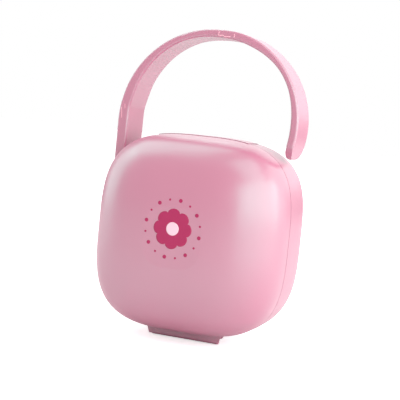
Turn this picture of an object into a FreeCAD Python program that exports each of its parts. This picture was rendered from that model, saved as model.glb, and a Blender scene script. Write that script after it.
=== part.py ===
"""Pacifier sterilizer case: two half shells on a bottom hinge, a clasp, a swing handle, a rack.

Millimetres. +Z is up and the front cover faces -Y. The origin lies below the middle of the case, at
the level of the hinge barrel's underside. Every size is a named cell of the sheet "Sizes".
"""
import FreeCAD, Part
import math
import os
from FreeCAD import Rotation, Vector

os.makedirs("parts", exist_ok=True)
doc = FreeCAD.newDocument("SterilizerCase")

# ---------------------------------------------------------------- driving sizes
SIZES = [
    # the squircle body
    ("body_width", 63.8, "overall width of both half shells"),
    ("body_height", 64.8, "overall height of both half shells"),
    ("cover_depth", 22.0, "parting plane to the crown of the front cover"),
    ("shell_depth", 29.8, "parting plane to the flat back of the rear shell"),
    ("body_base", 3.0, "height of the body's lowest point above the hinge barrel's underside"),
    ("parting_y", -4.0, "parting plane between cover and shell"),
    ("outline_power", 3.3, "superellipse exponent of the front outline"),
    ("cover_power", 2.9, "superellipse exponent of the cover's depth profile"),
    ("shell_power", 4.4, "superellipse exponent of the shell's depth profile"),
    ("wall", 2.2, "wall of both half shells"),
    ("seam_gap", 0.3, "gap between the two rims"),
    ("lip_reach", 1.5, "how far the shell's register lip enters the cover"),
    ("lip_wall", 1.0, "thickness of the register lip"),
    ("lip_gap", 0.3, "clearance between the lip and the cover's wall"),
    # bottom hinge
    ("hinge_height", 1.5, "hinge axis above the barrel's underside, and the barrel's radius"),
    ("hinge_length", 23.2, "length of the hinge barrel"),
    ("middle_knuckle", 12.0, "length of the cover's middle knuckle"),
    ("knuckle_gap", 0.3, "side gap between knuckles and their radial clearance"),
    ("hinge_pin_radius", 0.75, "hinge pin radius"),
    ("pin_play", 0.05, "radial play of every pin in its bores"),
    ("leaf_width", 26.8, "width of the hinge leaves where they meet the body"),
    ("leaf_taper", 1.3, "how much each end of the leaf draws in towards its lower edge"),
    ("leaf_depth", 2.7, "how far each leaf stands from the parting plane"),
    ("leaf_foot", 0.6, "height of the cover leaf's lower edge"),
    ("leaf_bevel", 0.4, "bevel along the cover leaf's lower front edge"),
    ("shell_leaf_foot", 1.7, "height of the shell leaf's lower edge"),
    ("leaf_top", 5.0, "height at which the leaves end inside the body's wall"),
    # clasp on top
    ("clasp_width", 31.2, "width of the clasp"),
    ("clasp_front", 2.4, "reach of the clasp in front of the parting plane"),
    ("clasp_pin_back", 5.3, "clasp pin behind the parting plane"),
    ("clasp_pin_drop", 3.8, "clasp pin below the body's top"),
    ("clasp_proud", 0.2, "how far the clasp stands above the body"),
    ("clasp_seat", 1.3, "depth of the clasp's seat in the cover"),
    ("clasp_gap", 0.25, "clearance round the clasp"),
    ("clasp_back_gap", 0.45, "clearance behind the clasp's rolled rear edge"),
    ("clasp_barrel_radius", 1.8, "radius of the clasp's barrel"),
    ("clasp_pin_radius", 0.75, "clasp pin radius"),
    ("cheek_wall", 2.6, "thickness of the two cheeks that hold the clasp pin"),
    ("skirt_wall", 1.5, "thickness of the clasp's rolled rear edge"),
    # carrying handle
    ("handle_width", 13.9, "width of the handle's band"),
    ("handle_setback", 0.7, "handle's front edge behind the parting plane"),
    ("leg_proud", 0.65, "how far the leg's outer face stands outside the body"),
    ("leg_wall", 3.7, "thickness of the leg"),
    ("arch_left_radius", 32.5, "outer radius of the arch on the leg's side"),
    ("arch_right_radius", 27.0, "outer radius of the arch on the free side"),
    ("arch_rise", 35.2, "rise of the arch's outer face above the body's top"),
    ("crown_flat", 2.35, "length of the flat crown between the two sides of the arch"),
    ("free_angle", 59.5, "angle above +X where the free end leaves the arch"),
    ("crown_wall", 2.8, "thickness of the band at its thickest near the top"),
    ("crown_angle", 72.0, "angle above +X where the band is thickest near the top"),
    ("haunch_wall", 1.95, "thickness of the band at its thinnest on the free side"),
    ("haunch_angle", 35.0, "angle above +X where the free side is thinnest"),
    ("shoulder_wall", 2.3, "thickness of the band at its thinnest on the leg's side"),
    ("shoulder_angle", 108.0, "angle above +X where the leg's side is thinnest"),
    ("free_wall", 2.7, "thickness of the free end at its thickest"),
    ("free_drop_angle", 5.0, "angle below +X where the free end is thickest"),
    ("tip_wall", 1.8, "thickness of the free end at its round tip"),
    ("tip_drop", 13.0, "how far the tip reaches below the centre of the free side's arch"),
    ("tip_hook", 0.4, "how far the tip lies inside the free side's arch"),
    ("tip_round", 5.0, "corner radius of the free end"),
    ("band_edge", 0.75, "edge rounding of the band"),
    ("pivot_inset", 7.15, "pivot's distance inside the leg's outer face"),
    ("pivot_drop", 14.2, "handle's pivot below the body's top"),
    ("eye_radius", 5.0, "radius of the handle's eye"),
    ("ear_radius", 3.3, "radius of the ears that hold the handle pin"),
    ("front_ear_wall", 4.2, "thickness of the front ear"),
    ("rear_ear_wall", 3.0, "thickness of the rear ear"),
    ("handle_gap", 0.3, "clearance round the handle's root"),
    ("handle_pin_radius", 1.5, "handle pin radius"),
    ("pin_head_radius", 2.4, "radius of the handle pin's head"),
    ("pin_head_length", 1.0, "length of the handle pin's head"),
    ("handle_swing", 60.0, "angle through which the handle opens"),
    # rack inside
    ("rack_width", 42.0, "width of the rack's plate"),
    ("rack_height", 40.0, "height of the rack's plate"),
    ("rack_plate", 1.8, "thickness of the rack's plate"),
    ("rack_corner", 8.0, "corner radius of the rack's plate"),
    ("rack_foot_length", 5.0, "length of the rack's feet"),
    ("rack_foot_radius", 2.0, "radius of the rack's feet"),
    ("rack_foot_spread", 20.0, "spacing of the rack's feet"),
    ("rack_gap", 0.5, "gap under the rack's feet"),
    ("drain_radius", 2.0, "radius of the rack's drain holes"),
    ("drain_pitch", 6.5, "spacing of the rack's drain holes"),
    ("prong_height", 13.0, "how far the prongs stand in front of the plate"),
    ("prong_wall", 2.0, "thickness of the prongs"),
    ("prong_width", 12.0, "width of the prongs"),
    ("prong_spread", 24.0, "clear space between the prongs"),
    ("prong_notch", 2.4, "width of the notch that takes a soother's shield"),
    ("prong_notch_depth", 6.0, "depth of that notch"),
    # drains
    ("vent_radius", 1.3, "radius of the drain holes in the shell's underside"),
    ("vent_pitch", 9.0, "spacing of those holes"),
    ("vent_back", 15.0, "distance of those holes behind the parting plane"),
]

sheet = doc.addObject("Spreadsheet::Sheet", "Sizes")
for row, (alias, number, note) in enumerate(SIZES, start=1):
    sheet.set(f"A{row}", str(number))
    sheet.setAlias(f"A{row}", alias)
    sheet.set(f"B{row}", note)
doc.recompute()


def size(alias):
    """The value of one cell."""
    return float(getattr(sheet, alias))


# ---------------------------------------------------------------- helpers
def named(expression):
    """An expression in plain aliases, with each alias pointed at the sheet."""
    words = sorted((alias for alias, _, _ in SIZES), key=len, reverse=True)
    out = ""
    place = 0
    while place < len(expression):
        whole = place == 0 or not (expression[place - 1].isalnum() or expression[place - 1] == "_")
        hit = next((w for w in words if whole and expression.startswith(w, place)), None)
        if hit:
            out += "Sizes." + hit
            place += len(hit)
        else:
            out += expression[place]
            place += 1
    return out


def bind(feature, **expressions):
    """Bind properties to the sheet; x, y and z stand for the placement's base."""
    for prop, expression in expressions.items():
        path = f"Placement.Base.{prop}" if prop in ("x", "y", "z") else prop
        feature.setExpression(path, named(str(expression)))
    return feature


def box(name, x, y, z, length, width, height):
    """A box from its low corner and its three sides."""
    block = doc.addObject("Part::Box", name)
    return bind(block, x=x, y=y, z=z, Length=length, Width=width, Height=height)


def rod_x(name, x, y, z, radius, length):
    """A cylinder along X from its low end."""
    rod = doc.addObject("Part::Cylinder", name)
    rod.Placement.Rotation = Rotation(Vector(0, 1, 0), 90)
    return bind(rod, x=x, y=y, z=z, Radius=radius, Height=length)


def rod_y(name, x, y, z, radius, length):
    """A cylinder along Y from its low end."""
    rod = doc.addObject("Part::Cylinder", name)
    rod.Placement.Rotation = Rotation(Vector(1, 0, 0), -90)
    return bind(rod, x=x, y=y, z=z, Radius=radius, Height=length)


def rod_z(name, x, y, z, radius, length):
    """A cylinder along Z from its low end."""
    return bind(doc.addObject("Part::Cylinder", name), x=x, y=y, z=z, Radius=radius, Height=length)


def fuse(name, *pieces):
    """One solid from several."""
    feature = doc.addObject("Part::MultiFuse", name)
    feature.Shapes = list(pieces)
    feature.Refine = True
    return feature


def common(name, *pieces):
    """What several solids share."""
    feature = doc.addObject("Part::MultiCommon", name)
    feature.Shapes = list(pieces)
    return feature


def cut(name, base, tool):
    """One solid less another."""
    feature = doc.addObject("Part::Cut", name)
    feature.Base = base
    feature.Tool = tool
    return feature


def free(name, shape):
    """A solid worked out in code from the sheet's values."""
    feature = doc.addObject("Part::Feature", name)
    feature.Shape = shape
    return feature


def root():
    """How deep what stands inside a half shell reaches into its wall."""
    return size("wall") / 2


def leg_face():
    """How far the leg's outer face lies from the middle."""
    return size("body_width") / 2 + size("leg_proud")


def body_top():
    """The height of the body's top."""
    return size("body_base") + size("body_height")


def pivot_point():
    """The handle's pivot in the plane y = 0."""
    return Vector(size("pivot_inset") - leg_face(), 0, body_top() - size("pivot_drop"))


# Expressions that several pieces share. REACH is long enough to pass through any wall.
REACH = "(body_height / 4)"
MID_Z = "(body_base + body_height / 2)"
TOP_Z = "(body_base + body_height)"
COVER_RIM = "(parting_y - seam_gap / 2)"
SHELL_RIM = "(parting_y + seam_gap / 2)"
CLASP_Y = "(parting_y + clasp_pin_back)"
CLASP_Z = f"({TOP_Z} - clasp_pin_drop)"
HANDLE_Y = "(parting_y + handle_setback)"
LEG_OUTER = "(body_width / 2 + leg_proud)"
PIVOT_X = f"(pivot_inset - {LEG_OUTER})"
PIVOT_Z = f"({TOP_Z} - pivot_drop)"
EYE_Y = f"({SHELL_RIM} + front_ear_wall + handle_gap)"
EYE_END = f"({HANDLE_Y} + handle_width)"


# ---------------------------------------------------------------- the body's surface
OUTLINE_STEPS = 32
PROFILE_ANGLES = (0, 4, 11, 22, 34, 46, 58, 70, 80)


def outline(half_width, half_height, y, middle):
    """A closed superellipse |x/a|^n + |z/b|^n = 1 in the plane at y."""
    power = size("outline_power")
    points = []
    for step in range(OUTLINE_STEPS):
        turn = 2 * math.pi * step / OUTLINE_STEPS
        across, up = math.cos(turn), math.sin(turn)
        reach = (abs(across / half_width) ** power + abs(up / half_height) ** power) ** (-1 / power)
        points.append(Vector(reach * across, y, middle + reach * up))
    curve = Part.BSplineCurve()
    curve.interpolate(Points=points, PeriodicFlag=True)
    return Part.Wire([curve.toShape()])


def dome(rim_y, depth, power, inset, side):
    """Half a squircle body, from its rim to a small flat crown, drawn in by inset.

    The outline shrinks by cos(t)^(2/m) while the depth grows by sin(t)^(2/m). side is -1 for the
    cover, which faces -Y, and +1 for the shell.
    """
    middle = size("body_base") + size("body_height") / 2
    half_width = size("body_width") / 2 - inset
    half_height = size("body_height") / 2 - inset
    wires = []
    for angle in PROFILE_ANGLES:
        turn = math.radians(angle)
        shrink = math.cos(turn) ** (2 / power)
        reach = math.sin(turn) ** (2 / power)
        y = rim_y + side * (depth - inset) * reach
        wires.append(outline(half_width * shrink, half_height * shrink, y, middle))
    return Part.makeLoft(wires, True, False)


def cover_dome(name, inset):
    """The cover's half of the body, from its rim forwards."""
    rim = size("parting_y") - size("seam_gap") / 2
    depth = size("cover_depth") - size("seam_gap") / 2
    return free(name, dome(rim, depth, size("cover_power"), inset, -1))


def shell_dome(name, inset):
    """The shell's half of the body, from its rim backwards to the flat back."""
    rim = size("parting_y") + size("seam_gap") / 2
    depth = size("shell_depth") - size("seam_gap") / 2
    return free(name, dome(rim, depth, size("shell_power"), inset, 1))


def clasp_layer(name, inset):
    """The body's surface across the parting plane, as the clasp's faces follow it."""
    rim = size("parting_y")
    front = dome(rim, size("cover_depth"), size("cover_power"), inset, -1)
    back = dome(rim, size("shell_depth"), size("shell_power"), inset, 1)
    return free(name, front.fuse(back))


def lip_ring(name, inset):
    """A prism of the outline, drawn in by inset, from inside the shell to the lip's front."""
    middle = size("body_base") + size("body_height") / 2
    start = size("parting_y") + size("seam_gap") / 2 + size("lip_reach")
    length = 2 * size("lip_reach") + size("seam_gap")
    wire = outline(size("body_width") / 2 - inset, size("body_height") / 2 - inset, start, middle)
    return free(name, Part.Face(wire).extrude(Vector(0, -length, 0)))


# ---------------------------------------------------------------- hinge at the bottom
def leaf(start, foot):
    """One hinge leaf: a plate with slanted ends under the body, from start backwards."""
    half = size("leaf_width") / 2
    low = half - size("leaf_taper")
    shoulder = size("body_base") + root()
    top = size("leaf_top")
    corners = [
        Vector(-low, start, foot),
        Vector(-half, start, shoulder),
        Vector(-half, start, top),
        Vector(half, start, top),
        Vector(half, start, shoulder),
        Vector(low, start, foot),
        Vector(-low, start, foot),
    ]
    depth = size("leaf_depth") - size("seam_gap") / 2
    return Part.Face(Part.makePolygon(corners)).extrude(Vector(0, depth, 0))


def bevelled(plate, start, foot):
    """The plate with the edge at y = start and z = foot bevelled."""
    low = Vector(0, start, foot)
    edge = min(plate.Edges, key=lambda e: (e.CenterOfMass - low).Length)
    return plate.makeChamfer(size("leaf_bevel"), [edge])


def knuckle(name, x, radius, length):
    """A length of the hinge barrel, or the room for one."""
    return rod_x(name, x, "parting_y", "hinge_height", radius, length)


def side_knuckles(name, radius, extra):
    """The shell's two outer knuckles, or with extra the room they need."""
    length = f"((hinge_length - middle_knuckle) / 2 - knuckle_gap + {extra})"
    left = f"-hinge_length / 2 - {extra} / 2"
    right = f"middle_knuckle / 2 + knuckle_gap - {extra} / 2"
    return fuse(
        name,
        knuckle(name + "_left", left, radius, length),
        knuckle(name + "_right", right, radius, length),
    )


def middle_rod(name, radius, extra):
    """The cover's middle knuckle, or with extra the room it needs."""
    length = f"middle_knuckle + 2 * ({extra})"
    return knuckle(name, f"-middle_knuckle / 2 - {extra}", radius, length)


def make_front_cover():
    """The front cover: half shell, clasp seat, hinge leaf and middle knuckle."""
    outside = cover_dome("cover_outside", 0.0)
    hollow = cut("cover_hollow", outside, cover_dome("cover_inside", size("wall")))
    seat_box = box(
        "cover_seat_box",
        "-clasp_width / 2 - clasp_gap",
        "parting_y - clasp_front - clasp_gap",
        MID_Z,
        "clasp_width + 2 * clasp_gap",
        "clasp_front + clasp_gap",
        "body_height",
    )
    seat = cut("cover_seat", seat_box, clasp_layer("cover_seat_floor", size("clasp_seat")))
    seated = cut("cover_seated", hollow, seat)
    front = size("parting_y") - size("leaf_depth")
    foot = size("leaf_foot")
    plate = free("cover_leaf", bevelled(leaf(front, foot), front, foot))
    room = side_knuckles("cover_knuckle_room", "hinge_height + knuckle_gap", "2 * knuckle_gap")
    relief = knuckle(
        "cover_leaf_relief", "-leaf_width / 2", "hinge_height + knuckle_gap", "leaf_width"
    )
    leaf_cut = cut("cover_leaf_cut", plate, relief)
    web = box(
        "cover_web",
        "-middle_knuckle / 2",
        "parting_y - leaf_depth",
        "hinge_height",
        "middle_knuckle",
        "leaf_depth",
        "leaf_top - hinge_height",
    )
    web_front = cut(
        "cover_web_front",
        web,
        box(
            "cover_web_back",
            "-middle_knuckle",
            "parting_y - seam_gap / 2",
            "hinge_height + hinge_pin_radius",
            "2 * middle_knuckle",
            "leaf_depth",
            "leaf_top",
        ),
    )
    barrel = middle_rod("cover_knuckle", "hinge_height", "0")
    whole = fuse("cover_whole", seated, leaf_cut, web_front, barrel)
    roomy = cut("cover_roomy", whole, room)
    bore = knuckle(
        "cover_bore", "-hinge_length", "hinge_pin_radius + pin_play", "2 * hinge_length"
    )
    return cut("front_cover", roomy, bore)


# ---------------------------------------------------------------- rear shell
def handle_notch():
    """The room in the shell's shoulder that the handle's leg sweeps from closed to open."""
    depth = f"({EYE_END} + handle_gap - parting_y)"
    upright = box(
        "notch_upright",
        "-body_width",
        "parting_y",
        PIVOT_Z,
        f"body_width - {LEG_OUTER} + leg_wall + handle_gap",
        depth,
        "body_height",
    )
    opened = doc.addObject("Part::Feature", "notch_opened")
    reach = size("body_width")
    clear = size("handle_gap")
    near = size("pivot_inset") - size("leg_wall") - clear
    far = size("pivot_inset") + clear
    long = Part.makeBox(far - near, reach, reach)
    long.translate(Vector(-far, 0, 0))
    long.rotate(Vector(0, 0, 0), Vector(0, 1, 0), -size("handle_swing"))
    pivot = pivot_point()
    depth_value = size("handle_setback") + size("handle_width") + clear
    low = Vector(-2 * reach, 0, -2 * reach)
    long = long.common(Part.makeBox(4 * reach, depth_value, 4 * reach, low))
    long.translate(pivot + Vector(0, size("parting_y"), 0))
    opened.Shape = long
    round_end = rod_y(
        "notch_round", PIVOT_X, "parting_y", PIVOT_Z, "pivot_inset + handle_gap", depth
    )
    return fuse("handle_notch", upright, opened, round_end)


def ear(name, y, length):
    """One ear for the handle pin, hung from the shoulder's wall."""
    disc = rod_y(name + "_disc", PIVOT_X, y, PIVOT_Z, "ear_radius", length)
    web = box(
        name + "_web",
        f"{PIVOT_X} - ear_radius",
        y,
        PIVOT_Z,
        "2 * ear_radius",
        length,
        REACH,
    )
    inside = common(name + "_hung", web, shell_dome(name + "_bound", root()))
    return fuse(name, disc, inside)


def collar_band(name, inset):
    """A band inside the shell's rim that carries the register lip."""
    middle = size("body_base") + size("body_height") / 2
    start = size("parting_y") + size("seam_gap") / 2
    wire = outline(size("body_width") / 2 - inset, size("body_height") / 2 - inset, start, middle)
    return free(name, Part.Face(wire).extrude(Vector(0, size("lip_reach"), 0)))


def cheek(name, x):
    """One cheek that holds an end of the clasp pin."""
    return box(
        name,
        x,
        f"{CLASP_Y} - clasp_barrel_radius - wall / 2",
        f"{CLASP_Z} - clasp_barrel_radius - wall / 2",
        "cheek_wall",
        "2 * clasp_barrel_radius + wall",
        REACH,
    )


def knuckle_web(name, x):
    """The web that joins one of the shell's knuckles to its leaf."""
    return box(
        name,
        x,
        "parting_y + seam_gap / 2",
        "hinge_height",
        "(hinge_length - middle_knuckle) / 2 - knuckle_gap",
        "leaf_depth - seam_gap / 2",
        "leaf_top - hinge_height",
    )


def make_rear_shell():
    """The rear shell: half shell, lip, handle ears, clasp cheeks, hinge leaf and outer knuckles."""
    wall = size("wall")
    hollow = cut("shell_hollow", shell_dome("shell_outside", 0.0), shell_dome("shell_inside", wall))
    lip_out = wall + size("lip_gap")
    lip_in = lip_out + size("lip_wall")
    lip = cut("shell_lip", lip_ring("lip_outer", lip_out), lip_ring("lip_inner", lip_in))
    collar_room = lip_ring("collar_inner", lip_in)
    collar = cut("shell_collar", collar_band("collar_outer", root()), collar_room)
    # the clasp's slot and the cheeks beside it
    slot = rod_x(
        "clasp_slot_round",
        "-clasp_width / 2 - clasp_gap",
        CLASP_Y,
        CLASP_Z,
        "clasp_pin_drop + clasp_proud + clasp_back_gap",
        "clasp_width + 2 * clasp_gap",
    )
    slot_front = box(
        "clasp_slot_front",
        "-clasp_width / 2 - clasp_gap",
        "parting_y - lip_reach - seam_gap",
        f"{CLASP_Z} - clasp_barrel_radius - clasp_gap",
        "clasp_width + 2 * clasp_gap",
        "clasp_pin_back + lip_reach + seam_gap",
        REACH,
    )
    slot_room = fuse("clasp_slot", slot, slot_front)
    cheeks = fuse(
        "cheeks",
        cheek("cheek_left", "-clasp_width / 2 - clasp_gap - cheek_wall"),
        cheek("cheek_right", "clasp_width / 2 + clasp_gap"),
    )
    cheeks_in = common("cheeks_in", cheeks, shell_dome("cheek_bound", root()))
    # the hinge
    rim = size("parting_y") + size("seam_gap") / 2
    plate = free("shell_leaf", leaf(rim, size("shell_leaf_foot")))
    room = middle_rod("shell_knuckle_room", "hinge_height + knuckle_gap", "knuckle_gap")
    relief = knuckle(
        "shell_leaf_relief", "-leaf_width / 2", "hinge_height + knuckle_gap", "leaf_width"
    )
    leaf_cut = cut("shell_leaf_cut", plate, relief)
    webs = fuse(
        "shell_webs",
        knuckle_web("shell_web_left", "-hinge_length / 2"),
        knuckle_web("shell_web_right", "middle_knuckle / 2 + knuckle_gap"),
    )
    knuckles = side_knuckles("shell_knuckles", "hinge_height", "0")
    # everything together
    notched = cut("shell_notched", fuse("shell_lipped", hollow, lip, collar), handle_notch())
    slotted = cut("shell_slotted", notched, slot_room)
    front_ear = ear("front_ear", SHELL_RIM, "front_ear_wall")
    rear_ear = ear("rear_ear", f"{EYE_END} + handle_gap", "rear_ear_wall")
    whole = fuse("shell_whole", slotted, cheeks_in, leaf_cut, webs, knuckles, front_ear, rear_ear)
    drains = [
        rod_z(
            f"shell_vent_{count}",
            f"{count - 1} * vent_pitch",
            "parting_y + vent_back",
            "0",
            "vent_radius",
            "3 * wall + body_base",
        )
        for count in range(3)
    ]
    bores = fuse(
        "shell_bores",
        room,
        knuckle(
            "shell_hinge_bore", "-hinge_length", "hinge_pin_radius + pin_play", "2 * hinge_length"
        ),
        rod_y(
            "shell_head_room",
            PIVOT_X,
            f"{EYE_END} + handle_gap + rear_ear_wall",
            PIVOT_Z,
            "pin_head_radius + pin_play",
            "pin_head_length + pin_play",
        ),
        # the clasp pin is driven in from the handle's side and stops in the far cheek
        rod_x(
            "shell_clasp_bore",
            "-clasp_width",
            CLASP_Y,
            CLASP_Z,
            "clasp_pin_radius + pin_play",
            "clasp_width * 3 / 2 + clasp_gap + cheek_wall",
        ),
        rod_y(
            "shell_handle_bore",
            PIVOT_X,
            "parting_y",
            PIVOT_Z,
            "handle_pin_radius + pin_play",
            f"{EYE_END} + handle_gap + rear_ear_wall - parting_y + wall",
        ),
        *drains,
    )
    return cut("rear_shell", whole, bores)


# ---------------------------------------------------------------- clasp
def clasp_rod(name, radius):
    """A cylinder along the clasp pin's axis, as long as the clasp."""
    return rod_x(name, "-clasp_width / 2", CLASP_Y, CLASP_Z, radius, "clasp_width")


def make_clasp():
    """The clasp: a curved plate over both rims, a rolled rear edge and a barrel on its pin."""
    plate_box = box(
        "clasp_plate_box",
        "-clasp_width / 2",
        "parting_y - clasp_front",
        MID_Z,
        "clasp_width",
        "clasp_front + clasp_pin_back",
        "body_height",
    )
    plate = cut(
        "clasp_plate",
        common("clasp_plate_top", plate_box, clasp_layer("clasp_face", -size("clasp_proud"))),
        clasp_layer("clasp_floor", size("clasp_seat") - size("clasp_gap")),
    )
    roll_radius = "clasp_pin_drop + clasp_proud"
    roll = cut(
        "clasp_roll_ring",
        clasp_rod("clasp_roll_out", roll_radius),
        clasp_rod("clasp_roll_in", f"{roll_radius} - skirt_wall"),
    )
    quarter = box(
        "clasp_quarter", "-clasp_width", CLASP_Y, CLASP_Z, "2 * clasp_width", REACH, REACH
    )
    outside = clasp_layer("clasp_skirt_face", -size("clasp_proud"))
    skirt = common("clasp_skirt", roll, quarter, outside)
    web = box(
        "clasp_web",
        "-clasp_width / 2",
        f"{CLASP_Y} - skirt_wall / 2",
        CLASP_Z,
        "clasp_width",
        "skirt_wall",
        "clasp_pin_drop",
    )
    web_in = common("clasp_web_in", web, clasp_layer("clasp_web_face", 0.0))
    barrel = clasp_rod("clasp_barrel", "clasp_barrel_radius")
    whole = fuse("clasp_whole", plate, skirt, web_in, barrel)
    bore = clasp_rod("clasp_bore", "clasp_pin_radius + pin_play")
    return cut("top_clasp", whole, bore)


# ---------------------------------------------------------------- handle
INNER_STEPS = 16
STRAIGHT_UP = 90
LEG_SIDE = 180


def heading(turn):
    """The direction at an angle in degrees above +X, in the plane y = 0."""
    return Vector(math.cos(math.radians(turn)), 0, math.sin(math.radians(turn)))


def left_arc():
    """Centre and radius of the arch on the leg's side."""
    radius = size("arch_left_radius")
    return Vector(radius - leg_face(), 0, body_top() + size("arch_rise") - radius), radius


def right_arc():
    """Centre and radius of the arch on the free side, beyond the flat crown."""
    radius = size("arch_right_radius")
    across = left_arc()[0].x + size("crown_flat")
    return Vector(across, 0, body_top() + size("arch_rise") - radius), radius


def tip_arc():
    """Centre and radius of the free end's round tip."""
    centre, reach = right_arc()
    radius = size("tip_wall") / 2
    across = reach - size("tip_hook") - radius
    return centre + Vector(across, 0, radius - size("tip_drop")), radius


def free_arc():
    """Centre and radius of the free end, which leaves the arch smoothly and runs into the tip.

    The same arc drawn in by the tip's radius starts on the arch's normal and ends at the tip's
    centre, so its radius is chord^2 / (2 chord . inward).
    """
    centre, radius = right_arc()
    tip, tip_radius = tip_arc()
    inward = -heading(size("free_angle"))
    start = centre - inward * (radius - tip_radius)
    chord = tip - start
    reach = chord.dot(chord) / (2 * chord.dot(inward))
    return start + inward * reach, reach + tip_radius


def tip_angle():
    """The angle of the free end's arc, in degrees, where the round tip begins."""
    way = tip_arc()[0] - free_arc()[0]
    return math.degrees(math.atan2(way.z, way.x))


def wall_at(turn):
    """The band's thickness at an angle of the arch in degrees.

    It passes smoothly through the walls of the tip, the free end, the haunch, the crown, the
    shoulder and the leg.
    """
    stations = [
        (tip_angle(), "tip_wall"),
        (-size("free_drop_angle"), "free_wall"),
        (size("haunch_angle"), "haunch_wall"),
        (size("crown_angle"), "crown_wall"),
        (size("shoulder_angle"), "shoulder_wall"),
        (LEG_SIDE, "leg_wall"),
    ]
    for (start, low), (end, high) in zip(stations, stations[1:]):
        if turn <= end:
            share = (1 - math.cos(math.pi * (turn - start) / (end - start))) / 2
            return size(low) + (size(high) - size(low)) * share
    return size("leg_wall")


def inner_point(turn):
    """A point of the band's inner face at an angle in degrees."""
    if turn < size("free_angle"):
        centre, radius = free_arc()
    elif turn < STRAIGHT_UP:
        centre, radius = right_arc()
    else:
        centre, radius = left_arc()
    return centre + heading(turn) * (radius - wall_at(turn))


def arc(circle, start, end):
    """The arc of a circle, given by its centre and radius, from one angle to another."""
    centre, radius = circle
    turns = (start, (start + end) / 2, end)
    return Part.Arc(*[centre + heading(turn) * radius for turn in turns]).toShape()


def smooth(points, start_way, end_way):
    """A spline through points with its two end directions given."""
    curve = Part.BSplineCurve()
    curve.interpolate(Points=points, InitialTangent=start_way, FinalTangent=end_way)
    return curve.toShape()


def band_profile():
    """The handle's side view: leg, arch and free end as one closed face in the plane y = 0."""
    pivot = pivot_point()
    left, left_radius = left_arc()
    right, right_radius = right_arc()
    crown_left = left + heading(STRAIGHT_UP) * left_radius
    crown_right = right + heading(STRAIGHT_UP) * right_radius
    leg_low = Vector(-leg_face(), 0, pivot.z)
    leg_top = left + heading(LEG_SIDE) * left_radius
    # the inner face: up the free end, round the arch at the band's thickness, down to the leg
    tip, tip_radius = tip_arc()
    tip_in = tip + heading(LEG_SIDE) * tip_radius
    tip_turn = tip_angle()
    turn_step = (LEG_SIDE - tip_turn) / INNER_STEPS
    inner = [inner_point(tip_turn + turn_step * step) for step in range(1, INNER_STEPS)]
    leg_in = Vector(size("leg_wall") - leg_face(), 0, leg_top.z)
    # the leg's round end about the pivot
    inset = size("pivot_inset") - size("leg_wall")
    end_turn = LEG_SIDE + math.degrees(math.acos(inset / size("pivot_inset")))
    leg_end = pivot + heading(end_turn) * size("pivot_inset")
    edges = [
        Part.makeLine(leg_low, leg_top),
        arc(left_arc(), LEG_SIDE, STRAIGHT_UP),
        Part.makeLine(crown_left, crown_right),
        arc(right_arc(), STRAIGHT_UP, size("free_angle")),
        arc(free_arc(), size("free_angle"), tip_turn),
        arc(tip_arc(), tip_turn, -LEG_SIDE),
        smooth([tip_in] + inner + [leg_in], Vector(0, 0, 1), Vector(0, 0, -1)),
        Part.makeLine(leg_in, leg_end),
        arc((pivot, size("pivot_inset")), end_turn, LEG_SIDE),
    ]
    return Part.Face(Part.Wire(edges))


def rounded_band():
    """The band with its four long edges rounded, up to the leg's round end."""
    band = doc.addObject("Part::Extrusion", "handle_band")
    band.Base = free("handle_profile", band_profile())
    band.DirMode = "Custom"
    band.Dir = Vector(0, 1, 0)
    band.Solid = True
    bind(band, LengthFwd="handle_width", y=HANDLE_Y)
    doc.recompute()
    fillet = doc.addObject("Part::Fillet", "handle_rounded")
    fillet.Base = band
    rounding = size("band_edge")
    lowest = pivot_point().z + size("eye_radius")
    fillet.Edges = [
        (number, rounding, rounding)
        for number, edge in enumerate(band.Shape.Edges, start=1)
        if edge.BoundBox.YLength < rounding and edge.BoundBox.ZMax > lowest
    ]
    return fillet


def tip_corner(name, y, centre_y):
    """What is cut from one corner of the free end to round it in side view."""
    tip_z = f"({TOP_Z} + arch_rise - arch_right_radius - tip_drop)"
    block = box(
        name + "_block",
        "arch_right_radius / 2",
        y,
        f"{tip_z} - wall",
        "arch_right_radius",
        "tip_round",
        "wall + tip_round",
    )
    disc = rod_x(
        name + "_round", "0", centre_y, f"{tip_z} + tip_round", "tip_round", "2 * arch_right_radius"
    )
    return cut(name, block, disc)


def make_handle():
    """The carrying handle: a flat band bent to a hook, with an eye at its root."""
    corners = fuse(
        "tip_corners",
        tip_corner("tip_front", HANDLE_Y, f"{HANDLE_Y} + tip_round"),
        tip_corner("tip_rear", f"{EYE_END} - tip_round", f"{EYE_END} - tip_round"),
    )
    band = cut("handle_tipped", rounded_band(), corners)
    eye_length = f"{EYE_END} - {EYE_Y}"
    eye = rod_y("handle_eye", PIVOT_X, EYE_Y, PIVOT_Z, "eye_radius", eye_length)
    link = box(
        "handle_link",
        f"leg_wall / 2 - {LEG_OUTER}",
        EYE_Y,
        f"{PIVOT_Z} - eye_radius",
        "pivot_inset - leg_wall / 2",
        eye_length,
        "2 * eye_radius",
    )
    bound = rod_y("handle_link_bound", PIVOT_X, EYE_Y, PIVOT_Z, "pivot_inset", eye_length)
    whole = fuse("handle_whole", band, eye, common("handle_link_round", link, bound))
    bore = rod_y(
        "handle_bore",
        PIVOT_X,
        "parting_y",
        PIVOT_Z,
        "handle_pin_radius + pin_play",
        "3 * handle_width",
    )
    ear_room = rod_y(
        "handle_ear_room",
        PIVOT_X,
        "parting_y",
        PIVOT_Z,
        "ear_radius + handle_gap",
        f"{EYE_Y} - parting_y",
    )
    return cut("carry_handle", whole, fuse("handle_holes", bore, ear_room))


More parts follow.
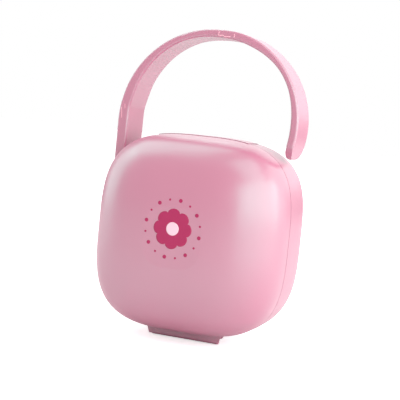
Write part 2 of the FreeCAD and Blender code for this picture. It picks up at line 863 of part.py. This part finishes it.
# ---------------------------------------------------------------- pins
def make_pins():
    """The hinge pin, the clasp pin and the handle pin with its head."""
    knuckle("hinge_pin", "-hinge_length / 2", "hinge_pin_radius", "hinge_length")
    rod_x(
        "clasp_pin",
        "-clasp_width / 2 - clasp_gap - cheek_wall + pin_play",
        CLASP_Y,
        CLASP_Z,
        "clasp_pin_radius",
        "clasp_width + 2 * (clasp_gap + cheek_wall - pin_play)",
    )
    rear = f"({EYE_END} + handle_gap + rear_ear_wall)"
    length = f"{rear} - {SHELL_RIM}"
    shank = rod_y("handle_pin_shank", PIVOT_X, SHELL_RIM, PIVOT_Z, "handle_pin_radius", length)
    head = rod_y("handle_pin_head", PIVOT_X, rear, PIVOT_Z, "pin_head_radius", "pin_head_length")
    fuse("handle_pin", shank, head)


# ---------------------------------------------------------------- rack
SIDES = (-1, 1)
DRAIN_COLUMNS = (-1, 0, 1)
DRAIN_ROWS = (-2, -1, 0, 1, 2)


def rounded_plate():
    """The rack's plate, centred, with its four upright corners rounded."""
    half_width = size("rack_width") / 2
    half_height = size("rack_height") / 2
    low = Vector(-half_width, 0, -half_height)
    blank = Part.makeBox(2 * half_width, size("rack_plate"), 2 * half_height, low)
    corners = [edge for edge in blank.Edges if edge.BoundBox.YLength > size("rack_plate") / 2]
    return blank.makeFillet(size("rack_corner"), corners)


def make_rack():
    """The lift-out rack: a drained plate on four feet with two notched prongs."""
    back = "(parting_y + shell_depth - wall)"
    plate_y = f"({back} - rack_gap - rack_foot_length - rack_plate)"
    plate = bind(free("rack_blank", rounded_plate()), y=plate_y, z=MID_Z)
    feet = [
        rod_y(
            f"rack_foot_{across}_{up}",
            f"{across} * rack_foot_spread / 2",
            f"{plate_y} + rack_plate / 2",
            f"{MID_Z} + {up} * rack_foot_spread / 2",
            "rack_foot_radius",
            "rack_foot_length + rack_plate / 2",
        )
        for across in SIDES
        for up in SIDES
    ]
    prongs = [
        box(
            name,
            low,
            f"{plate_y} - prong_height",
            f"{MID_Z} - prong_width / 2",
            "prong_wall",
            "prong_height + rack_plate / 2",
            "prong_width",
        )
        for name, low in (
            ("rack_prong_left", "-prong_spread / 2 - prong_wall"),
            ("rack_prong_right", "prong_spread / 2"),
        )
    ]
    notch = box(
        "rack_notch",
        "-rack_width",
        f"{plate_y} - prong_height - wall",
        f"{MID_Z} - prong_notch / 2",
        "2 * rack_width",
        "prong_notch_depth + wall",
        "prong_notch",
    )
    drains = [
        rod_y(
            f"rack_drain_{column}_{row}",
            f"{column} * drain_pitch",
            f"{plate_y} - rack_plate",
            f"{MID_Z} + {row} * drain_pitch",
            "drain_radius",
            "3 * rack_plate",
        )
        for column in DRAIN_COLUMNS
        for row in DRAIN_ROWS
    ]
    whole = fuse("rack_whole", plate, *feet, *prongs)
    return cut("soother_rack", whole, fuse("rack_holes", notch, *drains))


make_front_cover()
make_rear_shell()
make_clasp()
make_handle()
make_pins()
make_rack()
doc.recompute()

NODES = [
    "rear_shell",
    "front_cover",
    "hinge_pin",
    "top_clasp",
    "clasp_pin",
    "carry_handle",
    "handle_pin",
    "soother_rack",
]
for feature in doc.Objects:
    failed = [state for state in feature.State if state in ("Invalid", "Error")]
    if failed:
        raise RuntimeError(f"{feature.Name} did not compute: {feature.State}")
for node in NODES:
    feature = doc.getObject(node)
    feature.Label = node
    shape = feature.Shape
    if shape.isNull() or not shape.isValid() or len(shape.Solids) != 1:
        raise RuntimeError(f"{node} is not one valid solid: {len(shape.Solids)} solids")
    shape.exportStep(f"parts/{node}.step")
    print(f"{node}: volume {shape.Volume:.1f} mm3")
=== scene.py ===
import logging
import math
from dataclasses import dataclass, field
from enum import Enum

import bpy
import numpy as np
from mathutils import Matrix, Vector


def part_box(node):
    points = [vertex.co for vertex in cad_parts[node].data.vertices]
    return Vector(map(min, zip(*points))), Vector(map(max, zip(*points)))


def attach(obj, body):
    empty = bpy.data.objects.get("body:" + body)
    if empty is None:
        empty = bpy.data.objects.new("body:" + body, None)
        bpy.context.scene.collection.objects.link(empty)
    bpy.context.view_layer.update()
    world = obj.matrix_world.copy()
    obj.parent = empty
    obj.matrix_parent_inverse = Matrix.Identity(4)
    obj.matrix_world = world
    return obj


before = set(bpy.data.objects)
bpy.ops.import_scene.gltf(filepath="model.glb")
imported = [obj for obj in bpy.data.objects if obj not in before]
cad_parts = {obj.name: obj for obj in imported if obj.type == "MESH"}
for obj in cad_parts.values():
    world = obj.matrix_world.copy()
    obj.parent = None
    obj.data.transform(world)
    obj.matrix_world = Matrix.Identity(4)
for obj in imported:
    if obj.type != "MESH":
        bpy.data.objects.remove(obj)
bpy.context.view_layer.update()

LOG = logging.getLogger("steriliser_case")
MM = 0.001
WHITE = (1.0, 1.0, 1.0, 1.0)
NODE_COLUMNS = 6
NODE_STEP = (220, 260)
NOISE_SPAN = (0.3, 0.7)  # most of a noise's values lie in here
WEAR_FINENESS = 6.0  # cells of wear along one cell of flow
SMALL_SHARES = np.linspace(0.25, 1.0, 4)  # rings of a dot or a stroke
STROKE_SPOKES = 32
STROKE_STEEPNESS = 4.0


class Gloss(Enum):
    """How a moulded surface leaves its tool: roughness, refractive index, specular level."""

    POLISHED = (0.32, 1.8, 0.90)
    SATIN = (0.42, 1.5, 0.50)
    MATT = (0.58, 1.5, 0.40)


class Grain(Enum):
    """How fine a noise is: its octaves, and how strongly the finer ones count."""

    FLOW = (3.0, 0.5)
    WEAR = (4.0, 0.6)
    RIPPLE = (1.5, 0.4)


def srgb(red: int, green: int, blue: int) -> tuple[float, float, float]:
    """Linear colour of an 8-bit screen colour, by the usual two-part screen curve.

    Args:
        red, green, blue: screen levels from 0 to 255.

    Returns:
        The three linear levels.
    """
    level = np.array([red, green, blue]) / 255.0
    linear = np.where(level <= 0.04045, level / 12.92, ((level + 0.055) / 1.055) ** 2.4)
    return tuple(float(v) for v in linear)


def direction(azimuth: float, elevation: float) -> Vector:
    """Unit way out from the object.

    Args:
        azimuth: degrees round from -Y toward +X.
        elevation: degrees up.

    Returns:
        The way.
    """
    turn, lift = math.radians(azimuth), math.radians(elevation)
    level = math.cos(lift)
    return Vector((math.sin(turn) * level, -math.cos(turn) * level, math.sin(lift)))


class NodeSheet:
    """The node tree of a material or a world, with short ways to add, join, map and choose."""

    def __init__(self, owner: bpy.types.Material | bpy.types.World) -> None:
        """Clears the owner's tree and keeps hold of it."""
        owner.use_nodes = True
        self.tree = owner.node_tree
        self.tree.nodes.clear()
        self.count = 0

    def add(self, kind: str, **inputs: object) -> bpy.types.Node:
        """Adds a node and sets named inputs on it.

        Args:
            kind: the node's type name.
            inputs: values by socket name, with spaces written as underscores.

        Returns:
            The new node.
        """
        node = self.tree.nodes.new(kind)
        row, column = divmod(self.count, NODE_COLUMNS)
        node.location = (NODE_STEP[0] * column, -NODE_STEP[1] * row)
        self.count += 1
        for name, value in inputs.items():
            node.inputs[name.replace("_", " ")].default_value = value
        return node

    def join(self, start: bpy.types.NodeSocket, end: bpy.types.NodeSocket) -> None:
        """Links an output socket to an input socket."""
        self.tree.links.new(start, end)

    def noise(
        self, where: bpy.types.NodeSocket, scale: float, grain: Grain
    ) -> bpy.types.NodeSocket:
        """Adds a noise texture read at the given coordinates.

        Args:
            where: the coordinate socket.
            scale: cells a metre.
            grain: how fine the noise is.

        Returns:
            The socket of its value.
        """
        detail, rough = grain.value
        node = self.add("ShaderNodeTexNoise", Scale=scale, Detail=detail, Roughness=rough)
        self.join(where, node.inputs["Vector"])
        return node.outputs["Fac"]

    def remap(
        self,
        value: bpy.types.NodeSocket,
        source: tuple[float, float],
        result: tuple[float, float],
    ) -> bpy.types.NodeSocket:
        """Maps one range of a value on to another.

        Args:
            value: the value's socket.
            source: the range it comes in, low then high.
            result: the range it goes out in.

        Returns:
            The socket of the mapped value.
        """
        node = self.add("ShaderNodeMapRange")
        names = ("From Min", "From Max", "To Min", "To Max")
        for name, level in zip(names, (*source, *result)):
            node.inputs[name].default_value = level
        self.join(value, node.inputs["Value"])
        return node.outputs["Result"]

    def choose(
        self,
        ray: bpy.types.NodeSocket,
        otherwise: bpy.types.NodeSocket,
        chosen: bpy.types.NodeSocket,
    ) -> bpy.types.NodeSocket:
        """Picks one of two shaders by the kind of ray.

        Args:
            ray: a socket that is 1 for one kind of ray and 0 for the others.
            otherwise: the shader of the other rays.
            chosen: the shader of that kind of ray.

        Returns:
            The socket of the picked shader.
        """
        node = self.add("ShaderNodeMixShader")
        self.join(ray, node.inputs["Fac"])
        self.join(otherwise, node.inputs[1])
        self.join(chosen, node.inputs[2])
        return node.outputs["Shader"]


@dataclass(frozen=True)
class MouldedPlastic:
    """An injection moulded plastic: flow shading, tiny ripples of the tool and a polish."""

    name: str
    colour: tuple[float, float, float]
    flow_colour: tuple[float, float, float]
    gloss: Gloss
    sheen: tuple[float, float, float] = (1.0, 1.0, 1.0)
    flow_scale: float = 28.0
    ripple_scale: float = 60.0
    ripple_height: float = 0.000008
    roughness_drift: float = 0.02

    def make(self) -> bpy.types.Material:
        """Builds the material.

        Colour runs between the two given colours with a slow noise. Roughness drifts round the
        gloss's own value. The bump is a slow ripple of the tool.

        Returns:
            The material.
        """
        material = bpy.data.materials.new(self.name)
        sheet = NodeSheet(material)
        rough, index, specular = self.gloss.value
        place = sheet.add("ShaderNodeTexCoord").outputs["Object"]

        flow = sheet.noise(place, self.flow_scale, Grain.FLOW)
        tint = sheet.add("ShaderNodeMix")
        tint.data_type = "RGBA"
        colour_inputs = [s for s in tint.inputs if s.type == "RGBA"]
        for socket, colour in zip(colour_inputs, (self.colour, self.flow_colour)):
            socket.default_value = (*colour, 1.0)
        sheet.join(sheet.remap(flow, NOISE_SPAN, (0.0, 1.0)), tint.inputs["Factor"])

        wear = sheet.noise(place, self.flow_scale * WEAR_FINENESS, Grain.WEAR)
        drift = (rough - self.roughness_drift, rough + self.roughness_drift)
        roughness = sheet.remap(wear, NOISE_SPAN, drift)

        ripple = sheet.noise(place, self.ripple_scale, Grain.RIPPLE)
        bump = sheet.add("ShaderNodeBump", Strength=1.0, Distance=self.ripple_height)
        sheet.join(ripple, bump.inputs["Height"])
        shader = sheet.add(
            "ShaderNodeBsdfPrincipled",
            IOR=index,
            Specular_IOR_Level=specular,
            Specular_Tint=(*self.sheen, 1.0),
        )
        colour_output = [s for s in tint.outputs if s.type == "RGBA"][0]
        sheet.join(colour_output, shader.inputs["Base Color"])
        sheet.join(roughness, shader.inputs["Roughness"])
        sheet.join(bump.outputs["Normal"], shader.inputs["Normal"])
        sheet.join(shader.outputs["BSDF"], sheet.add("ShaderNodeOutputMaterial").inputs["Surface"])
        return material


def ink(
    name: str, colour: tuple[float, float, float], flow_colour: tuple[float, float, float]
) -> MouldedPlastic:
    """A printed ink: satin, with a low fine ripple."""
    return MouldedPlastic(
        name, colour, flow_colour, Gloss.SATIN, ripple_scale=1500.0, ripple_height=0.000003
    )


PINK_CASE = MouldedPlastic(
    "pink_case_gloss",
    (0.580, 0.165, 0.270),
    (0.570, 0.161, 0.264),
    Gloss.POLISHED,
    sheen=(0.25, 1.0, 0.85),
)
PALE_PIN = MouldedPlastic("pin_satin", srgb(196, 128, 148), srgb(190, 122, 142), Gloss.SATIN)
IVORY_RACK = MouldedPlastic(
    "rack_matt", srgb(244, 240, 236), srgb(236, 231, 226), Gloss.MATT, ripple_height=0.00002
)
MAGENTA_INK = ink("print_magenta", srgb(168, 28, 84), srgb(160, 24, 78))
PALE_INK = ink("print_pale", srgb(236, 200, 212), srgb(230, 192, 205))
# Light pink of the handle's strokes: a painted highlight, lighter than the case's own pink,
# standing in for light caught on the handle's small edges.
MARK_PAINTED_GLINT = MouldedPlastic(
    "mould_mark_painted_glint", srgb(246, 184, 198), srgb(240, 176, 190), Gloss.SATIN
)


@dataclass(frozen=True)
class Patch:
    """A round flat patch: its middle point first, then rings of points from the inside out."""

    points: np.ndarray
    rings: int
    spokes: int

    def faces(self) -> np.ndarray:
        """Triangles of the patch: a fan round the middle, then two for each cell between rings."""
        spoke = np.arange(self.spokes)
        after = (spoke + 1) % self.spokes
        fan = np.stack([np.zeros_like(spoke), spoke + 1, after + 1], axis=-1)
        ring = 1 + self.spokes * np.arange(self.rings - 1)[:, None]
        near, near_after = ring + spoke, ring + after
        far, far_after = near + self.spokes, near_after + self.spokes
        cells = np.stack([near, far, far_after, near, far_after, near_after], axis=-1)
        return np.concatenate([fan, cells.reshape(-1, 3)])


def round_patch(centre: tuple[float, float], radii: np.ndarray, shares: np.ndarray) -> Patch:
    """A patch inside an outline given in polar form.

    A point is the centre plus (share of the radius) x (radius at that angle) x (cosine, sine).

    Args:
        centre: the two coordinates of the middle.
        radii: the outline's radius at evenly spaced angles.
        shares: the shares of the radius at which the rings lie, ending with 1.

    Returns:
        The patch.
    """
    angle = np.linspace(0.0, 2.0 * np.pi, len(radii), endpoint=False)
    way = np.stack([np.cos(angle), np.sin(angle)], axis=-1)
    rings = np.array(centre) + shares[:, None, None] * radii[:, None] * way
    points = np.concatenate([np.array([centre]), rings.reshape(-1, 2)])
    return Patch(points, len(shares), len(radii))


def stroke_patch(
    start: tuple[float, float], end: tuple[float, float], width: float
) -> Patch:
    """A straight stroke with round ends.

    A unit disc's point (a, b) goes to the middle + half the stroke's length x a clipped to its
    steep part + half the width x (a, b), both turned along the stroke.

    Args:
        start, end: the centres of its two ends.
        width: its width.

    Returns:
        The patch.
    """
    angle = np.linspace(0.0, 2.0 * np.pi, STROKE_SPOKES, endpoint=False)
    share = SMALL_SHARES[:, None]
    along, across = share * np.cos(angle), share * np.sin(angle)
    run = np.array(end) - np.array(start)
    way = run / np.hypot(*run)
    side = np.array([-way[1], way[0]])
    middle = (np.array(start) + np.array(end)) / 2.0
    shift = np.clip(STROKE_STEEPNESS * np.cos(angle), -1.0, 1.0) * share
    rings = middle + shift[..., None] * run / 2.0
    rings = rings + width / 2.0 * (along[..., None] * way + across[..., None] * side)
    points = np.concatenate([middle[None], rings.reshape(-1, 2)])
    return Patch(points, len(SMALL_SHARES), STROKE_SPOKES)


def mesh_object(
    name: str, points: np.ndarray, faces: np.ndarray, material: bpy.types.Material
) -> bpy.types.Object:
    """Puts whole arrays of points and triangles into a new smooth-shaded object at the origin.

    Args:
        name: the object's name.
        points: point places in metres, one row each.
        faces: triangles as point numbers, one row each.
        material: what it is dressed in.

    Returns:
        The object.
    """
    mesh = bpy.data.meshes.new(name)
    mesh.vertices.add(len(points))
    mesh.vertices.foreach_set("co", np.ascontiguousarray(points, dtype=np.float32).ravel())
    mesh.loops.add(faces.size)
    mesh.loops.foreach_set("vertex_index", faces.astype(np.int32).ravel())
    mesh.polygons.add(len(faces))
    mesh.polygons.foreach_set("loop_start", np.arange(0, faces.size, 3, dtype=np.int32))
    mesh.update(calc_edges=True)
    mesh.validate()
    mesh.shade_smooth()
    mesh.materials.append(material)
    item = bpy.data.objects.new(name, mesh)
    bpy.context.scene.collection.objects.link(item)
    return item


def dress(node: str, material: bpy.types.Material) -> None:
    """Gives one carried node its material."""
    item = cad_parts[node]
    item.data.materials.clear()
    item.data.materials.append(material)
    LOG.info("dressed %s in %s", node, material.name)


@dataclass
class PressedWork:
    """Thin work that lies on the front of one carried node, pressed on from the front."""

    node: str
    body: str
    start_clearance: float = 4.0 * MM
    made: list[bpy.types.Object] = field(default_factory=list)

    def lay(
        self, name: str, patches: list[Patch], lift: float, material: bpy.types.Material
    ) -> None:
        """Presses flat patches on to the node as one thin film.

        Args:
            name: the film's name.
            patches: patches in x and z.
            lift: how far the film's face stands off the node.
            material: what the film is dressed in.
        """
        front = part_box(self.node)[0].y - self.start_clearance
        starts = np.cumsum([0] + [len(patch.points) for patch in patches])
        flat = np.concatenate([patch.points for patch in patches])
        faces = np.concatenate(
            [patch.faces() + start for patch, start in zip(patches, starts)]
        )
        points = np.stack([flat[:, 0], np.full(len(flat), front), flat[:, 1]], axis=-1)
        film = mesh_object(name, points, faces, material)
        press = film.modifiers.new("press", "SHRINKWRAP")
        press.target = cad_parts[self.node]
        press.wrap_method = "PROJECT"
        press.use_project_y = True
        press.use_positive_direction = True
        press.use_negative_direction = False
        press.wrap_mode = "ON_SURFACE"
        depsgraph = bpy.context.evaluated_depsgraph_get()
        pressed = bpy.data.meshes.new_from_object(film.evaluated_get(depsgraph))
        film.modifiers.clear()
        film.data = pressed
        places = np.empty(len(pressed.vertices) * 3, np.float32)
        pressed.vertices.foreach_get("co", places)
        places[1::3] -= lift
        pressed.vertices.foreach_set("co", places)
        pressed.update()
        wall = film.modifiers.new("film", "SOLIDIFY")
        wall.thickness = 2.0 * lift
        wall.offset = -1.0
        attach(film, self.body)
        self.made.append(film)


@dataclass
class PrintedMotif(PressedWork):
    """The print on the cover's face: an eight-petalled flower in a ring of dots."""

    node: str = "front_cover"
    body: str = "cover"
    centre_x: float = 0.0
    centre_z: float = 38.3 * MM
    flower_radius: float = 6.4 * MM
    petals: int = 8
    petal_depth: float = 0.17
    petal_power: float = 0.6
    heart_radius: float = 2.1 * MM
    ring_radius: float = 9.2 * MM
    dots: int = 16
    large_dot: float = 0.62 * MM
    small_dot: float = 0.36 * MM
    dot_spokes: int = 28
    ink_proud: float = 0.03 * MM
    heart_lift: float = 1.6
    rings: int = 14
    spokes: int = 144

    def build(self) -> None:
        """Makes the flower, its heart and the ring of dots."""
        angle = np.linspace(0.0, 2.0 * np.pi, self.spokes, endpoint=False)
        scallop = np.abs(np.cos(0.5 * self.petals * angle)) ** self.petal_power
        petal = self.flower_radius * (1.0 - self.petal_depth + self.petal_depth * scallop)
        centre = (self.centre_x, self.centre_z)
        spots = []
        for number in range(self.dots):
            turn = 2.0 * math.pi * (number + 0.5) / self.dots
            spot = (
                centre[0] + self.ring_radius * math.cos(turn),
                centre[1] + self.ring_radius * math.sin(turn),
            )
            radius = self.large_dot if number % 2 else self.small_dot
            spots.append(round_patch(spot, np.full(self.dot_spokes, radius), SMALL_SHARES))
        shares = np.linspace(1.0 / self.rings, 1.0, self.rings)
        heart_shares = shares[::2] / shares[::2][-1]
        heart = round_patch(centre, np.full(self.spokes, self.heart_radius), heart_shares)
        magenta = MAGENTA_INK.make()
        self.lay("print_flower", [round_patch(centre, petal, shares)], self.ink_proud, magenta)
        self.lay("print_dots", spots, self.ink_proud, magenta)
        self.lay("print_heart", [heart], self.heart_lift * self.ink_proud, PALE_INK.make())
        LOG.info("print: %d films", len(self.made))


@dataclass
class MouldMarksAndGlints(PressedWork):
    """Light pink strokes on the handle's front: a latch mark that the tool leaves, raised a little
    and coloured as a painted highlight on its edges, and two strokes on the left leg that are
    painted glints only.

    Each stroke is given in millimetres as x and z of its start, then of its end.
    """

    node: str = "carry_handle"
    body: str = "handle"
    proud: float = 0.05 * MM
    width: float = 0.30 * MM
    glint_share: float = 0.7
    latch: tuple[tuple[float, float, float, float], ...] = (
        (0.80, 102.25, 0.62, 101.10),
        (0.85, 101.10, 2.35, 101.15),
        (2.55, 100.82, 4.70, 100.88),
        (6.15, 101.85, 6.05, 100.75),
    )
    # Strokes on the left leg: painted glints, light lines where light catches the leg's front
    # edge.
    leg_glints: tuple[tuple[float, float, float, float], ...] = (
        (-30.35, 75.75, -30.21, 74.40),
        (-31.45, 74.60, -31.15, 71.10),
    )

    def build(self) -> None:
        """Lays the strokes of the latch mark and of the leg's painted glints, all in the
        painted-highlight colour.
        """
        # One light pink material for all strokes: a painted highlight, not the plastic's own
        # colour.
        painted_glint = MARK_PAINTED_GLINT.make()
        marks = (
            ("latch_mark_and_glint", self.latch, self.width),
            ("leg_painted_glints", self.leg_glints, self.glint_share * self.width),
        )
        for name, lines, width in marks:
            strokes = [
                stroke_patch((x0 * MM, z0 * MM), (x1 * MM, z1 * MM), width)
                for x0, z0, x1, z1 in lines
            ]
            self.lay(name, strokes, self.proud, painted_glint)
        # The films counted here are the latch mark and the leg's painted glints.
        LOG.info("mould marks: %d films", len(self.made))


@dataclass
class Casing:
    """The shells, the clasp and the handle in one pink plastic, and the pins in a paler one."""

    pink_nodes: tuple[str, ...] = ("rear_shell", "front_cover", "top_clasp", "carry_handle")
    pin_nodes: tuple[str, ...] = ("hinge_pin", "clasp_pin", "handle_pin")

    def build(self) -> None:
        """Dresses the shells, the clasp, the handle and the pins."""
        pink = PINK_CASE.make()
        for node in self.pink_nodes:
            dress(node, pink)
        pin = PALE_PIN.make()
        for node in self.pin_nodes:
            dress(node, pin)


@dataclass
class Rack:
    """The lift-out rack inside the case."""

    node: str = "soother_rack"

    def build(self) -> None:
        """Dresses the rack."""
        dress(self.node, IVORY_RACK.make())


@dataclass(frozen=True)
class SoftLamp:
    """A flat soft lamp: where it stands round the object in degrees, its face and its power."""

    name: str
    azimuth: float
    elevation: float
    width: float
    height: float
    power: float
    distance: float = 0.70

    def hang(self, target: Vector) -> None:
        """Makes the lamp and turns it to the target."""
        lamp = bpy.data.lights.new(self.name, "AREA")
        lamp.shape = "RECTANGLE"
        lamp.size = self.width
        lamp.size_y = self.height
        lamp.energy = self.power
        item = bpy.data.objects.new(self.name, lamp)
        away = direction(self.azimuth, self.elevation)
        item.location = target + away * self.distance
        item.rotation_mode = "QUATERNION"
        item.rotation_quaternion = (-away).to_track_quat("-Z", "Y")
        bpy.context.scene.collection.objects.link(item)


@dataclass
class Studio:
    """Floor, world, lamps and camera, in metres and degrees, with the lens in millimetres."""

    floor_radius: float = 4.0
    floor_rings: int = 24
    floor_spokes: int = 96
    floor_paint: float = 0.9
    glow_reach: tuple[float, float] = (0.08, 0.30)
    glow_levels: tuple[float, float] = (0.62, 1.0)
    ambient: float = 0.43
    mirror_level: float = 0.80
    target: Vector = field(default_factory=lambda: Vector((0.000447, -0.0045, 0.046739)))
    azimuth: float = 19.914
    elevation: float = 4.1645
    roll: float = 5.788
    distance: float = 0.36372
    lens: float = 99.196
    sensor_width: float = 36.0
    clip: tuple[float, float] = (0.01, 50.0)
    lamp_aim: Vector = field(default_factory=lambda: Vector((0.0, -0.005, 0.045)))
    lamps: tuple[SoftLamp, ...] = (
        SoftLamp("right_box", 70.0, 15.0, 1.60, 0.60, 8.0),
        SoftLamp("right_back", 130.0, 20.0, 0.50, 0.70, 1.2),
        SoftLamp("right_high", 60.0, 60.0, 0.60, 0.50, 1.5),
        SoftLamp("left_box", -90.0, 20.0, 0.50, 0.60, 1.8),
        SoftLamp("left_high", -120.0, 60.0, 0.90, 0.50, 2.8),
        SoftLamp("back_box", 180.0, 25.0, 0.70, 0.50, 1.0),
    )

    def lay_floor(self) -> None:
        """Lays a round floor under the lowest node, its rings closer near the middle.

        To the camera it also glows, more so far out, so that it meets the world's white.
        """
        shares = np.linspace(1.0 / self.floor_rings, 1.0, self.floor_rings) ** 2
        disc = round_patch((0.0, 0.0), np.full(self.floor_spokes, self.floor_radius), shares)
        level = min(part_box(name)[0].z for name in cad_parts)
        points = np.column_stack([disc.points, np.full(len(disc.points), level)])
        material = bpy.data.materials.new("floor_white")
        sheet = NodeSheet(material)
        paint_colour = (self.floor_paint, self.floor_paint, self.floor_paint, 1.0)
        paint = sheet.add("ShaderNodeBsdfDiffuse", Color=paint_colour).outputs["BSDF"]
        place = sheet.add("ShaderNodeTexCoord").outputs["Object"]
        reach = sheet.add("ShaderNodeVectorMath")
        reach.operation = "LENGTH"
        sheet.join(place, reach.inputs[0])
        fade = sheet.remap(reach.outputs["Value"], self.glow_reach, self.glow_levels)
        glow = sheet.add("ShaderNodeEmission", Color=WHITE)
        sheet.join(fade, glow.inputs["Strength"])
        both = sheet.add("ShaderNodeAddShader")
        sheet.join(paint, both.inputs[0])
        sheet.join(glow.outputs["Emission"], both.inputs[1])
        ray = sheet.add("ShaderNodeLightPath").outputs["Is Camera Ray"]
        surface = sheet.choose(ray, paint, both.outputs["Shader"])
        sheet.join(surface, sheet.add("ShaderNodeOutputMaterial").inputs["Surface"])
        mesh_object("floor", points, disc.faces(), material)

    def light_world(self) -> None:
        """White to the camera, a little less in reflections, and a plain soft light otherwise."""
        world = bpy.data.worlds.new("studio")
        bpy.context.scene.world = world
        sheet = NodeSheet(world)
        levels = (1.0, self.mirror_level, self.ambient)
        seen, mirrored, soft = (
            sheet.add("ShaderNodeBackground", Color=WHITE, Strength=level).outputs["Background"]
            for level in levels
        )
        path = sheet.add("ShaderNodeLightPath").outputs
        unseen = sheet.choose(path["Is Glossy Ray"], soft, mirrored)
        surface = sheet.choose(path["Is Camera Ray"], unseen, seen)
        sheet.join(surface, sheet.add("ShaderNodeOutputWorld").inputs["Surface"])

    def set_camera(self) -> None:
        """Aims a long lens from slightly above and toward +X, with the frame a little rolled."""
        lens = bpy.data.cameras.new("camera")
        lens.sensor_width = self.sensor_width
        lens.lens = self.lens
        lens.clip_start, lens.clip_end = self.clip
        camera = bpy.data.objects.new("camera", lens)
        turn, tip = math.radians(self.azimuth), math.radians(self.roll)
        back = direction(self.azimuth, self.elevation)
        level = Vector((math.cos(turn), math.sin(turn), 0.0))
        above = back.cross(level)
        right = level * math.cos(tip) + above * math.sin(tip)
        up = above * math.cos(tip) - level * math.sin(tip)
        place = Matrix((right, up, back)).transposed().to_4x4()
        place.translation = self.target + back * self.distance
        camera.matrix_world = place
        bpy.context.scene.collection.objects.link(camera)
        bpy.context.scene.camera = camera

    def build(self) -> None:
        """Sets the whole studio up."""
        bpy.context.scene.view_settings.view_transform = "Standard"
        self.lay_floor()
        self.light_world()
        for lamp in self.lamps:
            lamp.hang(self.lamp_aim)
        self.set_camera()


def main() -> None:
    """Builds each sub-assembly in order and reports it."""
    logging.basicConfig(level=logging.INFO, format="%(name)s: %(message)s")
    for part in (Casing(), Rack(), PrintedMotif(), MouldMarksAndGlints(), Studio()):
        part.build()
        LOG.info("built %s", type(part).__name__)


if __name__ == "__main__":
    main()
